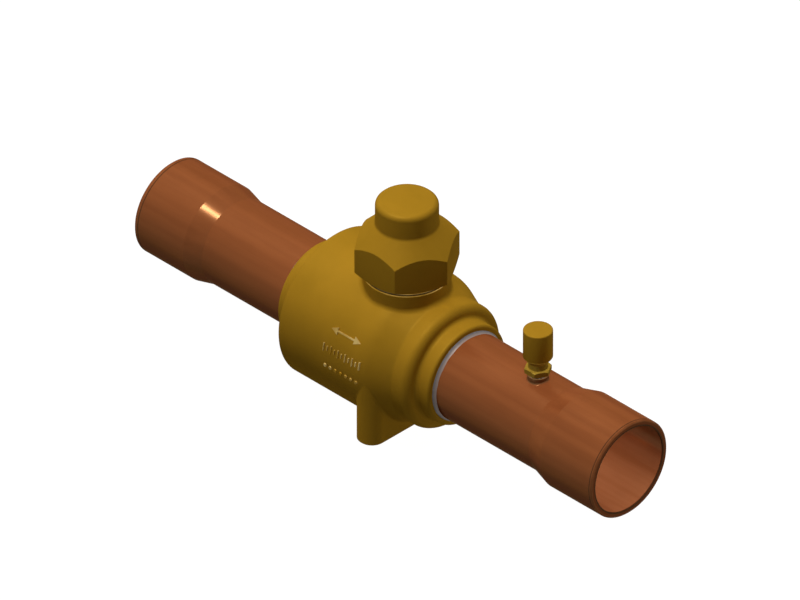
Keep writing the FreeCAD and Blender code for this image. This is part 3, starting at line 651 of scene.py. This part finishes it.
def make_braze(materials, node, face_x, out, seed):
    """Uneven fillet of braze metal, thick at the collar and feathered onto the tube."""
    def column(angle):
        ripple = wave(angle, seed + BRAZE_RIPPLE_SEED, BRAZE_RIPPLE_SCALE)
        swell = 1 + BRAZE_WAVE * wave(angle, seed, BRAZE_WAVE_SCALE) + BRAZE_WAVE / 2 * ripple
        reach = BRAZE_LENGTH * swell
        rise = BRAZE_RISE * (1 - BRAZE_RISE_SHARE + BRAZE_RISE_SHARE * swell)
        section = [(TUBE_R - BRAZE_SINK, -BRAZE_SINK), (TUBE_R + rise, -BRAZE_SINK)]
        for k in range(BRAZE_CURVE_STEPS + 1):
            part = k / BRAZE_CURVE_STEPS
            curve = (1 - part) ** BRAZE_CURVE_POWER
            radius = TUBE_R + BRAZE_FEATHER + (rise - BRAZE_FEATHER) * curve
            section.append((radius, reach * part))
        section.append((TUBE_R - BRAZE_SINK, reach))
        return [Vector((r, out * x)) for r, x in section]

    centre = Vector((face_x, *VALVE_CENTRE.yz))
    angles = even_angles(BRAZE_STEPS)
    ring = spun(node + "_detail", column, angles, centre, ALONG_X, ring=True, smooth_deg=50)
    attach(ring, "valve_body", "silver_braze", materials["silver_braze"], node)


def make_port_braze(materials):
    """Small uneven bead between the pulled collar and the fitting."""
    low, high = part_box("access_braze_ring")
    height = (high.z - low.z) / MM

    def column(angle):
        swell = wave(angle, PORT_WAVE_SEED, PORT_WAVE_SCALE)
        ripple = wave(angle, PORT_RIPPLE_SEED, PORT_RIPPLE_SCALE)
        bulge = PORT_BRAZE_WAVE * (PORT_BRAZE_BULGE + swell + PORT_RIPPLE_SHARE * ripple)
        return rounded([
            (SPIGOT_R, 0, 0),
            (PORT_BRAZE_R + bulge, 0, PORT_BRAZE_FOOT_ROUND),
            (PORT_BRAZE_R - PORT_BRAZE_TAPER + bulge, height, PORT_BRAZE_TOP_ROUND),
            (SPIGOT_R, height, 0)])

    centre = Vector((*PORT_CENTRE.xy, low.z))
    angles = even_angles(PORT_BRAZE_STEPS)
    ring = spun("access_braze_detail", column, angles, centre, ring=True, smooth_deg=60)
    attach(ring, "valve_body", "silver_braze", materials["port_braze_shade_and_glints"], "access_braze_ring")


def on_barrel(along, across, row_deg, lift):
    """Place on the barrel, along it and across a row of marks, in millimetres."""
    angle = math.radians(row_deg) - across / BARREL_R
    radius = BARREL_R + lift
    spot = Vector((RELIEF_CENTRE_X + along, radius * math.cos(angle), radius * math.sin(angle)))
    return VALVE_CENTRE + spot * MM


def add_mark(work, outline, row_deg):
    """One raised mark with drafted sides from an outline that runs round it."""
    centre = sum((Vector(p) for p in outline), Vector((0, 0))) / len(outline)
    shoulder = (RELIEF_HEIGHT * RELIEF_SHOULDER, RELIEF_DRAFT / 2)
    levels = ((-RELIEF_SINK, 0.0), shoulder, (RELIEF_HEIGHT, RELIEF_DRAFT))
    rings = []
    for lift, inset in levels:
        ring = []
        for i, point in enumerate(outline):
            here = Vector(point)
            before = (here - Vector(outline[i - 1])).normalized()
            after = (Vector(outline[(i + 1) % len(outline)]) - here).normalized()
            inward = Vector((-(before + after).y, (before + after).x)).normalized()
            if inward.dot(centre - here) < 0 and before.cross(after) == 0:
                inward = -inward
            spot = here + inward * inset
            ring.append(work.verts.new(on_barrel(spot.x, spot.y, row_deg, lift)))
        rings.append(ring)
    count = len(outline)
    for below, above in zip(rings, rings[1:]):
        for k in range(count):
            after = (k + 1) % count
            work.faces.new((below[k], below[after], above[after], above[k]))
    work.faces.new(rings[-1])
    work.faces.new(list(reversed(rings[0])))


def bar(x, height):
    """Outline of an upright bar, anticlockwise."""
    left = x - BAR_LENGTH / 2
    right = x + BAR_LENGTH / 2
    top = height / 2
    return [(left, -top), (right, -top), (right, top), (left, top)]


def arrow():
    """Outline of a double-headed arrow along the pipe, anticlockwise."""
    tip = ARROW_REACH / 2
    neck = tip - ARROW_HEAD
    stem = ARROW_STEM_WIDTH / 2
    barb = ARROW_HEAD_WIDTH / 2
    lower = [(-tip, 0), (-neck, -barb), (-neck, -stem), (neck, -stem), (neck, -barb)]
    return lower + [(-x, -y) for x, y in lower]


def dot(x):
    """Outline of a round dot, anticlockwise."""
    turns = [2 * math.pi * k / DOT_SIDES for k in range(DOT_SIDES)]
    return [(x + DOT_R * math.cos(t), DOT_R * math.sin(t)) for t in turns]


def make_relief(materials):
    """Plain raised marks: a two-way flow arrow, a row of bars and a row of dots."""
    work = bmesh.new()
    arrow_row, bar_row, dot_row = RELIEF_ROWS_DEG
    add_mark(work, arrow(), arrow_row)
    for k in range(BAR_COUNT):
        add_mark(work, bar(BAR_START_X + BAR_SPACING * k, BAR_HEIGHTS[k % 2]), bar_row)
    for k in range(DOT_COUNT):
        add_mark(work, dot(DOT_START_X + DOT_SPACING * k), dot_row)
    relief = finished("body_relief", work, smooth_deg=25)
    attach(relief, "valve_body", "forged_brass", materials["worn_and_highlit_brass"])


def make_rim(name, body, centre, radius, height, material):
    """Fine bright bead round an edge by the seal cap's gasket, a painted highlight."""
    turns = [math.radians(360 / RIM_BEAD_SIDES * k) for k in range(RIM_BEAD_SIDES)]
    out = [radius + RIM_BEAD_R * math.cos(turn) for turn in turns]
    up = [height + RIM_BEAD_R * math.sin(turn) for turn in turns]
    section = [Vector(point) for point in zip(out, up)]

    def column(angle):
        return section

    rim = spun(name, column, even_angles(RIM_STEPS), centre, ring=True, smooth_deg=80)
    attach(rim, body, "turned_brass", material)


class Look:
    """A new material's node tree, with a short call for each kind of node."""

    def __init__(self, name):
        self.material = bpy.data.materials.new(name)
        self.material.use_nodes = True
        self.tree = self.material.node_tree
        self.surface = self.tree.nodes["Principled BSDF"]

    def node(self, kind, inputs, **settings):
        made = self.tree.nodes.new("ShaderNode" + kind)
        for key, value in settings.items():
            setattr(made, key, value)
        for key, value in inputs.items():
            self.put(made.inputs[key], value)
        return made

    def put(self, socket, value):
        if isinstance(value, bpy.types.NodeSocket):
            self.tree.links.new(value, socket)
        else:
            socket.default_value = value

    def set(self, socket, value):
        self.put(self.surface.inputs[socket], value)

    def calculate(self, operation, first, second):
        return self.node("Math", {0: first, 1: second}, operation=operation).outputs[0]

    def point(self, centre):
        """Texture point about a centre, in millimetres."""
        coordinates = self.node("TexCoord", {}).outputs["Object"]
        shift = [-c / MM for c in centre]
        inputs = {"Vector": coordinates, "Location": shift, "Scale": (1 / MM,) * 3}
        return self.node("Mapping", inputs).outputs[0]

    def stretched(self, point, scale):
        return self.node("Mapping", {"Vector": point, "Scale": scale}).outputs[0]

    def noise(self, point, scale, detail):
        """Noise from 0 to 1 whose features are about 1/scale millimetres wide."""
        inputs = {"Vector": point, "Scale": scale, "Detail": detail}
        return self.node("TexNoise", inputs).outputs["Fac"]

    def around(self, point, axis):
        """Point that is the same all round an axis, for turning marks."""
        parts = self.node("SeparateXYZ", {"Vector": point})
        first, second, height = ("X", "Y", "Z") if axis == "Z" else ("Y", "Z", "X")
        across = {"X": parts.outputs[first], "Y": parts.outputs[second]}
        flat = self.node("CombineXYZ", across).outputs[0]
        radius = self.node("VectorMath", {0: flat}, operation="LENGTH").outputs["Value"]
        return self.node("CombineXYZ", {"X": radius, "Z": parts.outputs[height]}).outputs[0]

    def radius_and_height(self, point, axis):
        """A point's distance from an axis and its place along it."""
        parts = self.node("SeparateXYZ", {"Vector": self.around(point, axis)}).outputs
        return parts["X"], parts["Z"]

    def ranged(self, value, low, high, to_low, to_high):
        """A value between low and high stretched onto another range."""
        inputs = {"Value": value, "From Min": low, "From Max": high, "To Min": to_low, "To Max": to_high}
        return self.node("MapRange", inputs).outputs["Result"]

    def spread(self, noise, reach, to_low=0, to_high=1):
        """A noise within a reach of its middle stretched onto another range."""
        return self.ranged(noise, NOISE_MIDDLE - reach, NOISE_MIDDLE + reach, to_low, to_high)

    def blend(self, factor, first, second):
        """Colour between two colours."""
        inputs = {"Factor": factor, MIX_FIRST: first, MIX_SECOND: second}
        return self.node("Mix", inputs, data_type="RGBA").outputs[MIX_RESULT]

    def band(self, value, middle, reach):
        """1 within a reach of a middle value, 0 elsewhere."""
        return self.node("Math", {0: value, 1: middle, 2: reach}, operation="COMPARE").outputs[0]

    def show(self, shader):
        """Makes a shader the material's surface."""
        output = self.tree.nodes["Material Output"]
        self.tree.links.new(shader, output.inputs["Surface"])

    def satin(self, metallic, tint, roughness, normal, gloss_share, gloss_tint):
        """Satin metal, in which a share of pale gloss lights the highlights."""
        self.set("Metallic", metallic)
        self.set("Specular IOR Level", 0.0)
        self.set("Specular Tint", tint)
        self.set("Roughness", roughness)
        self.set("Normal", normal)
        inputs = {"Color": gloss_tint, "Roughness": roughness, "Normal": normal}
        gloss = self.node("BsdfGlossy", inputs).outputs[0]
        mix = self.node("MixShader", {"Fac": gloss_share, 1: self.surface.outputs[0], 2: gloss})
        self.show(mix.outputs["Shader"])

    def bump(self, height, depth_mm, under=None):
        inputs = {"Height": height, "Distance": depth_mm * MM}
        if under is not None:
            inputs["Normal"] = under
        return self.node("Bump", inputs).outputs["Normal"]


# Brass: metallic, roughness, what it is centred on, the axis of its turning marks, two colours
BRASSES = {
    "forged_brass": (BRASS_METALLIC, 0.52, VALVE_CENTRE, None, BRASS_DARK, BRASS_LIGHT),
    "machined_brass": (BRASS_METALLIC, 0.36, VALVE_CENTRE, "Z", BRASS_DARK, BRASS_LIGHT),
    "turned_brass": (BRASS_METALLIC, 0.48, VALVE_CENTRE, "Z", BRASS_DARK, BRASS_LIGHT),
    "port_brass": (BRASS_METALLIC, 0.46, PORT_CENTRE, "Z", BRASS_DARK, BRASS_LIGHT),
    "connector_brass": (BRASS_METALLIC, 0.40, VALVE_CENTRE, "X", BRASS_DARK, BRASS_LIGHT),
    # Brighter brass: wear on the raised marks, painted highlight on the gasket's beads
    "worn_and_highlit_brass": (WORN_HIGHLIGHT_METALLIC, 0.42, VALVE_CENTRE, None, BRASS_LIGHT, BRASS_WORN_HIGHLIGHT),
    "fitting_brass": (BRASS_METALLIC, 0.46, PORT_CENTRE, "Z", FITTING_DARK, FITTING_LIGHT),
}
# Braze: how far its stain takes to change from one colour to the other, and both colours
BRAZES = {
    "silver_braze": (STAIN_REACH, BRAZE_DARK, BRAZE_LIGHT),
    # The port's bead: painted shade with specks of painted glint
    "port_braze_shade_and_glints": (GLINT_REACH, PORT_BRAZE_PAINTED_SHADE, PORT_BRAZE_PAINTED_GLINT),
}
# Other materials: colour, roughness, metallic and specular level
PLAINS = {
    "plated_steel": ((0.45, 0.45, 0.46), 0.3, 0.8, 0.5),
    "spring_steel": ((0.25, 0.25, 0.26), 0.3, 0.9, 0.5),
    "ptfe": ((0.80, 0.80, 0.77), 0.5, 0.0, 0.5),
    "black_rubber": ((0.02, 0.02, 0.02), 0.6, 0.0, 0.5),
    # cream_nylon is coloured dark brown here, a painted shade in the gap between the seal cap and the
    # neck
    "cream_nylon": ((0.17, 0.125, 0.05), 0.6, 0.0, 0.0),
    "ball_plating": ((0.55, 0.55, 0.56), 0.15, 0.9, 0.5),
}


def brass(name, metallic, roughness, centre, axis, dark, light):
    """Satin brass: mottled and grainy where forged, with turning marks about an axis where turned."""
    look = Look(name)
    point = look.point(centre)
    mottle = look.noise(point, *BRASS_MOTTLE)
    look.set("Base Color", look.blend(look.spread(mottle, MOTTLE_REACH), dark, light))
    smoother = roughness - BRASS_ROUGH_VARIES
    rougher = roughness + BRASS_ROUGH_VARIES
    rough = look.spread(mottle, ROUGH_REACH, smoother, rougher)
    if axis:
        turned = look.noise(look.around(point, axis), *BRASS_TURNING)
        normal = look.bump(turned, TURNING_DEPTH)
    else:
        peel = look.bump(look.noise(point, *BRASS_PEEL), PEEL_DEPTH)
        normal = look.bump(look.noise(point, *BRASS_GRAIN), GRAIN_DEPTH, peel)
    look.satin(metallic, BRASS_TINT, rough, normal, BRASS_GLOSS_SHARE, BRASS_GLOSS)
    return look.material


def copper_shade(look, point):
    """Shade of drawn tube from 0 to 1, and the fine lines along the pipe in it."""
    cloud = look.noise(look.stretched(point, CLOUD_STRETCH), *COPPER_CLOUD)
    bands = look.noise(look.stretched(point, BANDS_STRETCH), *COPPER_BANDS)
    lines = look.noise(look.stretched(point, LINES_STRETCH), *COPPER_LINES)
    clouding = look.calculate("MULTIPLY", cloud, CLOUD_SHARE)
    banding = look.calculate("MULTIPLY", bands, BANDS_SHARE)
    lining = look.calculate("MULTIPLY", lines, LINES_SHARE)
    broad = look.calculate("ADD", clouding, banding)
    return look.calculate("ADD", broad, lining), lines


def near_ends(look, along, near, far, reach):
    """1 within a reach of a place at the near end or of one at the far end, 0 elsewhere."""
    near_band = look.band(along, near, reach)
    far_band = look.band(along, far, reach)
    return look.calculate("MAXIMUM", near_band, far_band)


def copper_zones(look, point):
    """Where the tubes' line and lip of painted shade, their cut ends in painted shade and their insides
    in painted light are: 1 there, else 0.
    """
    near = (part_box("near_tube")[1].x - VALVE_CENTRE.x) / MM
    far = (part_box("far_tube")[0].x - VALVE_CENTRE.x) / MM
    radius, along = look.radius_and_height(point, "X")
    inner = look.calculate("LESS_THAN", radius, CUT_END_R)
    outside = look.calculate("GREATER_THAN", radius, TUBE_OUTSIDE_R)
    lined = near_ends(look, along, near - NEAR_END_LINE, far + FAR_END_LINE, TUBE_LINE_WIDTH / 2)
    line = look.calculate("MULTIPLY", lined, outside)
    ends = near_ends(look, along, near, far, CUT_END_DEPTH)
    # The cut end faces get painted shade
    shaded_end = look.calculate("MULTIPLY", ends, inner)
    lip = look.calculate("MULTIPLY", shaded_end, look.calculate("LESS_THAN", radius, CUT_LIP_R))
    sockets = near_ends(look, along, near, far, SOCKET_DEPTH)
    socket = look.calculate("MULTIPLY", sockets, inner)
    bore = look.calculate("LESS_THAN", radius, TUBE_INSIDE_R)
    return look.calculate("MAXIMUM", line, lip), shaded_end, look.calculate("MAXIMUM", socket, bore)


def copper_painted_light_and_shade(look, point, inside):
    """Where the painted light in the sockets and the painted shade round the access port are: 1 there,
    else 0.
    """
    # Painted light on the inner side of the sockets that faces this direction
    inputs = {0: point, 1: SOCKET_LIGHT_SIDE}
    towards = look.node("VectorMath", inputs, operation="DOT_PRODUCT").outputs["Value"]
    socket_lit_side = look.ranged(towards, SOCKET_LIGHT_START, SOCKET_LIGHT_FULL, 0, 1)
    # Painted shade on the collar round the access port
    port_radius, height = look.radius_and_height(look.point(PORT_CENTRE), "Z")
    on_top = look.calculate("GREATER_THAN", height, PORT_SHADE_LOW_Z)
    port_shaded = look.ranged(port_radius, PORT_SHADE_R, PORT_SHADE_FADE_R, 1, 0)
    return look.calculate("MULTIPLY", inside, socket_lit_side), look.calculate("MULTIPLY", on_top, port_shaded)


def copper(name):
    """Drawn copper tube: clouding and fine lines, painted light inside and painted shade at the ends and
    round the port.
    """
    look = Look(name)
    point = look.point(VALVE_CENTRE)
    shade, lines = copper_shade(look, point)
    # edge marks the painted shade of the line and lip, and inside marks where the painted light inside
    # goes
    edge, shaded_end, inside = copper_zones(look, point)
    # scale marks the painted shade round the access port, and the first mask the painted light in the
    # sockets
    socket_light, scale = copper_painted_light_and_shade(look, point, inside)
    # The colour inside the tubes is made lighter, a painted light
    inside_painted_light = look.spread(shade, COPPER_REACH, LEAST_INSIDE_PAINTED_LIGHT, 1)
    tone = look.blend(look.spread(shade, COPPER_REACH), COPPER_DARK, COPPER_LIGHT)
    tone = look.blend(inside, tone, look.blend(inside_painted_light, COPPER_DARK, COPPER_INSIDE_PAINTED_LIGHT))
    tone = look.blend(socket_light, tone, COPPER_SOCKET_PAINTED_LIGHT)
    tone = look.blend(scale, tone, COPPER_PORT_PAINTED_SHADE)
    tone = look.blend(shaded_end, tone, COPPER_CUT_PAINTED_SHADE)
    look.set("Base Color", look.blend(edge, tone, COPPER_PAINTED_EDGE_SHADE))
    rough = look.spread(shade, ROUGH_REACH, *COPPER_ROUGHNESS)
    normal = look.bump(lines, LINES_DEPTH)
    look.satin(COPPER_METALLIC, COPPER_TINT, rough, normal, COPPER_GLOSS_SHARE, COPPER_GLOSS)
    return look.material


def braze_metal(name, reach, dark, light):
    """Dull silver braze with stains, and warmer where it thins out on the tube; on the port's bead the
    stains are painted shade with specks of painted glint.
    """
    look = Look(name)
    point = look.point(VALVE_CENTRE)
    stain = look.noise(point, *BRAZE_STAIN)
    stained = look.blend(look.spread(stain, reach), dark, light)
    radius = look.radius_and_height(point, "X")[0]
    thin = look.ranged(radius, BRAZE_COLLAR_R, BRAZE_FEATHER_R, 0, 1)
    look.set("Base Color", look.blend(thin, stained, BRAZE_WARM))
    look.set("Metallic", BRAZE_METALLIC)
    look.set("Specular IOR Level", BRAZE_SHINE)
    look.set("Roughness", look.spread(stain, ROUGH_REACH, *BRAZE_ROUGHNESS))
    look.set("Normal", look.bump(look.noise(point, *BRAZE_GRAIN), BRAZE_GRAIN_DEPTH))
    return look.material


def plain(name, colour, roughness, metallic, shine):
    """Inner material with a light mottle and a fine grain."""
    look = Look(name)
    point = look.point(VALVE_CENTRE)
    mottle = look.noise(point, *PLAIN_MOTTLE)
    darker = tuple(PLAIN_DARKER * c for c in colour)
    tone = look.blend(look.spread(mottle, MOTTLE_REACH), (*darker, 1), (*colour, 1))
    look.set("Base Color", tone)
    look.set("Metallic", metallic)
    look.set("Specular IOR Level", shine)
    smoother = roughness - PLAIN_ROUGH_VARIES
    rougher = roughness + PLAIN_ROUGH_VARIES
    look.set("Roughness", look.spread(mottle, ROUGH_REACH, smoother, rougher))
    look.set("Normal", look.bump(look.noise(point, *PLAIN_GRAIN), PLAIN_GRAIN_DEPTH))
    return look.material


def make_materials():
    """All materials by name."""
    made = {name: brass(name, *finish) for name, finish in BRASSES.items()}
    made["copper"] = copper("copper")
    made.update({name: braze_metal(name, *finish) for name, finish in BRAZES.items()})
    made.update({name: plain(name, *finish) for name, finish in PLAINS.items()})
    return made


def dress(materials):
    """Gives each CAD node its record's material, or a finer one where its axis matters."""
    special = {"end_connector": "connector_brass", "core_body": "port_brass"}
    for part in frame["record"]["subparts"]:
        node = nodes[part["node"]]
        node.data.materials.clear()
        node.data.materials.append(materials[special.get(part["node"], part["material_slot"])])


def add_lamps():
    for name, (direction, strength, angle_deg, shadow, shine) in LAMPS.items():
        lamp = bpy.data.lights.new(name, "SUN")
        lamp.energy = strength
        lamp.use_shadow = shadow
        lamp.angle = math.radians(angle_deg)
        sun = bpy.data.objects.new(name, lamp)
        sun.visible_glossy = shine
        sun.rotation_euler = Vector(direction).to_track_quat("Z", "Y").to_euler()
        bpy.context.scene.collection.objects.link(sun)


def seen_directly(tree):
    """1 for camera, glossy and transmission rays, 0 for the rays that light the object."""
    path = tree.nodes.new("ShaderNodeLightPath")
    first = tree.nodes.new("ShaderNodeMath")
    first.operation = "MAXIMUM"
    tree.links.new(path.outputs["Is Camera Ray"], first.inputs[0])
    tree.links.new(path.outputs["Is Glossy Ray"], first.inputs[1])
    second = tree.nodes.new("ShaderNodeMath")
    second.operation = "MAXIMUM"
    tree.links.new(first.outputs["Value"], second.inputs[0])
    tree.links.new(path.outputs["Is Transmission Ray"], second.inputs[1])
    return second.outputs["Value"]


def make_world():
    world = bpy.data.worlds.new("studio")
    world.use_nodes = True
    tree = world.node_tree
    background = tree.nodes["Background"]
    background.inputs["Color"].default_value = WHITE
    strength = tree.nodes.new("ShaderNodeMapRange")
    strength.inputs["To Min"].default_value = WORLD_STRENGTH
    strength.inputs["To Max"].default_value = 1.0
    tree.links.new(seen_directly(tree), strength.inputs["Value"])
    tree.links.new(strength.outputs["Result"], background.inputs["Strength"])
    bpy.context.scene.world = world


def make_floor():
    """Floor that looks white, keeps a soft shadow and throws some light back up."""
    bpy.ops.mesh.primitive_plane_add(size=FLOOR_SIZE, location=(0, 0, cad_box[0].z - FLOOR_DROP))
    floor = bpy.context.object
    floor.name = "floor"
    look = Look("white_floor")
    glow = look.node("Emission", {"Color": WHITE, "Strength": FLOOR_GLOW})
    shade = look.node("BsdfDiffuse", {"Color": (FLOOR_SHADE, FLOOR_SHADE, FLOOR_SHADE, 1)})
    seen = look.node("AddShader", {0: glow.outputs[0], 1: shade.outputs[0]})
    bounce = look.node("BsdfDiffuse", {"Color": (FLOOR_BOUNCE, FLOOR_BOUNCE, FLOOR_BOUNCE, 1)})
    direct = seen_directly(look.tree)
    mix = look.node("MixShader", {"Fac": direct, 1: bounce.outputs[0], 2: seen.outputs[0]})
    look.tree.nodes.remove(look.surface)
    look.show(mix.outputs["Shader"])
    floor.data.materials.append(look.material)


def make_camera():
    camera_data = bpy.data.cameras.new("camera")
    camera_data.type = "ORTHO"
    camera_data.ortho_scale = PHOTO_WIDTH_PX / PX_PER_MM * MM
    camera_data.clip_end = CAMERA_REACH
    camera = bpy.data.objects.new("camera", camera_data)
    aim = VALVE_CENTRE + VIEW_RIGHT * CENTRE_SHIFT_RIGHT + VIEW_UP * CENTRE_SHIFT_UP
    turn = Matrix((VIEW_RIGHT, VIEW_UP, VIEW_BACK)).transposed().to_4x4()
    camera.matrix_world = Matrix.Translation(aim + VIEW_BACK * CAMERA_DISTANCE) @ turn
    bpy.context.scene.collection.objects.link(camera)
    bpy.context.scene.camera = camera


def make_pieces(materials):
    near_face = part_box("near_braze_ring")[0].x
    far_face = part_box("far_braze_ring")[1].x
    make_seal_cap(materials)
    make_bonnet_thread(materials)
    make_access_fitting(materials)
    make_access_cap(materials)
    make_core_spring(materials)
    make_braze(materials, "near_braze_ring", near_face, 1, 1)
    make_braze(materials, "far_braze_ring", far_face, -1, 2)
    make_port_braze(materials)
    make_relief(materials)
    # The beads by the gasket are a painted highlight in the brighter brass
    worn_and_highlit = materials["worn_and_highlit_brass"]
    make_rim("neck_rim_detail", "valve_body", NECK_TOP, NECK_RIM_R, NECK_RIM_HEIGHT, worn_and_highlit)
    make_rim("cap_rim_detail", "seal_cap", CAP_FOOT, CAP_RIM_R, CAP_RIM_HEIGHT, worn_and_highlit)


def set_studio():
    add_lamps()
    make_world()
    make_floor()
    make_camera()
    bpy.context.scene.view_settings.view_transform = "Standard"


materials = make_materials()
dress(materials)
make_pieces(materials)
set_studio()
